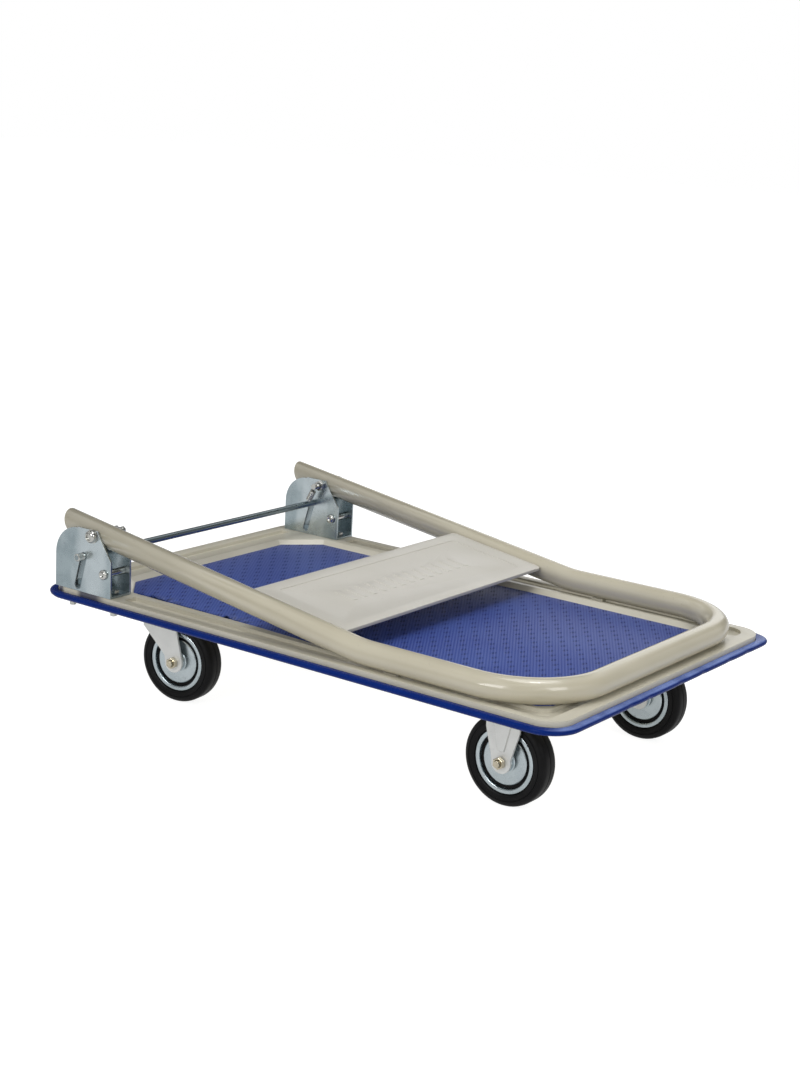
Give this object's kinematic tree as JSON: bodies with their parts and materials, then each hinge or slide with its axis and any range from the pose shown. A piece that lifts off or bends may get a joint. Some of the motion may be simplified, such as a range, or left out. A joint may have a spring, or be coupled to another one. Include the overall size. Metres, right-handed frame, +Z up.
{
  "type": "folding platform truck",
  "caption": "Flat hand truck with a matted steel deck, bumper strip, folding tube handle locked by a foot bar, and fixed and swivel casters.",
  "frame": {"origin": "centre of the overall box at floor level, under the middle of the deck", "axes": "+X along the deck from the hinge end to the fixed casters, +Y to the left across the deck, +Z up"},
  "size_m": [0.74, 0.484, 0.228],
  "materials": {
    "cream_paint": "gloss",
    "panel_paint": "semi-gloss",
    "blue_vinyl": "embossed matt",
    "blue_bumper": "gloss",
    "zinc_plate": "zinc plated",
    "bright_steel": "zinc plated, bright",
    "black_rubber": "satin",
    "wheel_plate": "zinc plated",
    "bush_plastic": "matt"
  },
  "bodies": {
    "deck": {"deck_tray": "cream_paint", "deck_mat": "blue_vinyl", "deck_bumper": "blue_bumper", "stiffener_rear": "cream_paint", "stiffener_front": "cream_paint", "hinge_bracket_left": "zinc_plate", "pivot_bolt_left": "bright_steel", "pivot_nut_left": "bright_steel", "stop_pin_left": "bright_steel", "bracket_bolt_rear_left": "bright_steel", "bracket_bolt_front_left": "bright_steel", "bracket_nut_rear_left": "bright_steel", "bracket_nut_front_left": "bright_steel", "bar_spring_left": "bright_steel", "handle_rest_left": "cream_paint", "fixed_fork_left": "zinc_plate", "axle_front_left": "bright_steel", "axle_nut_front_left": "bright_steel", "swivel_plate_left": "zinc_plate", "kingpin_left": "bright_steel", "hinge_bracket_right": "zinc_plate", "pivot_bolt_right": "bright_steel", "pivot_nut_right": "bright_steel", "stop_pin_right": "bright_steel", "bracket_bolt_rear_right": "bright_steel", "bracket_bolt_front_right": "bright_steel", "bracket_nut_rear_right": "bright_steel", "bracket_nut_front_right": "bright_steel", "bar_spring_right": "bright_steel", "handle_rest_right": "cream_paint", "fixed_fork_right": "zinc_plate", "axle_front_right": "bright_steel", "axle_nut_front_right": "bright_steel", "swivel_plate_right": "zinc_plate", "kingpin_right": "bright_steel"},
    "handle": {"handle_tube": "cream_paint", "handle_panel": "panel_paint"},
    "foot_bar": {"foot_bar": "zinc_plate"},
    "swivel_left": {"swivel_fork_left": "zinc_plate", "axle_rear_left": "bright_steel", "axle_nut_rear_left": "bright_steel"},
    "wheel_front_left": {"tyre_front_left": "black_rubber", "wheel_disc_front_left": "wheel_plate", "hub_bush_front_left": "bush_plastic"},
    "wheel_rear_left": {"tyre_rear_left": "black_rubber", "wheel_disc_rear_left": "wheel_plate", "hub_bush_rear_left": "bush_plastic"},
    "swivel_right": {"swivel_fork_right": "zinc_plate", "axle_rear_right": "bright_steel", "axle_nut_rear_right": "bright_steel"},
    "wheel_front_right": {"tyre_front_right": "black_rubber", "wheel_disc_front_right": "wheel_plate", "hub_bush_front_right": "bush_plastic"},
    "wheel_rear_right": {"tyre_rear_right": "black_rubber", "wheel_disc_rear_right": "wheel_plate", "hub_bush_rear_right": "bush_plastic"}
  },
  "joints": [
    {"name": "handle_fold", "type": "hinge", "parent": "deck", "child": "handle", "pos_m": [-0.286, 0, 0.206], "axis": [0, -1, 0], "range_deg": [0, 98]},
    {"name": "foot_bar_slide", "type": "slide", "parent": "deck", "child": "foot_bar", "axis": [-0.2571, 0, -0.9664], "range_m": [0, 0.038], "deforming": ["bar_spring_left", "bar_spring_right"]},
    {"name": "caster_swivel_left", "type": "hinge", "parent": "deck", "child": "swivel_left", "pos_m": [-0.25, 0.145, 0.09], "axis": [0, 0, 1], "continuous": true},
    {"name": "wheel_spin_front_left", "type": "hinge", "parent": "deck", "child": "wheel_front_left", "pos_m": [0.255, 0.146, 0.051], "axis": [0, 1, 0], "continuous": true},
    {"name": "wheel_spin_rear_left", "type": "hinge", "parent": "swivel_left", "child": "wheel_rear_left", "pos_m": [-0.22122, 0.14853, 0.051], "axis": [-0.1219, 0.9925, 0], "continuous": true},
    {"name": "caster_swivel_right", "type": "hinge", "parent": "deck", "child": "swivel_right", "pos_m": [-0.25, -0.145, 0.09], "axis": [0, 0, 1], "continuous": true},
    {"name": "wheel_spin_front_right", "type": "hinge", "parent": "deck", "child": "wheel_front_right", "pos_m": [0.255, -0.146, 0.051], "axis": [0, 1, 0], "continuous": true},
    {"name": "wheel_spin_rear_right", "type": "hinge", "parent": "swivel_right", "child": "wheel_rear_right", "pos_m": [-0.22122, -0.14147, 0.051], "axis": [-0.1219, 0.9925, 0], "continuous": true}
  ],
  "couplings": [
    {"joint": "foot_bar_slide", "follows": "handle_fold", "m_per_rad": 0.022216}
  ]
}
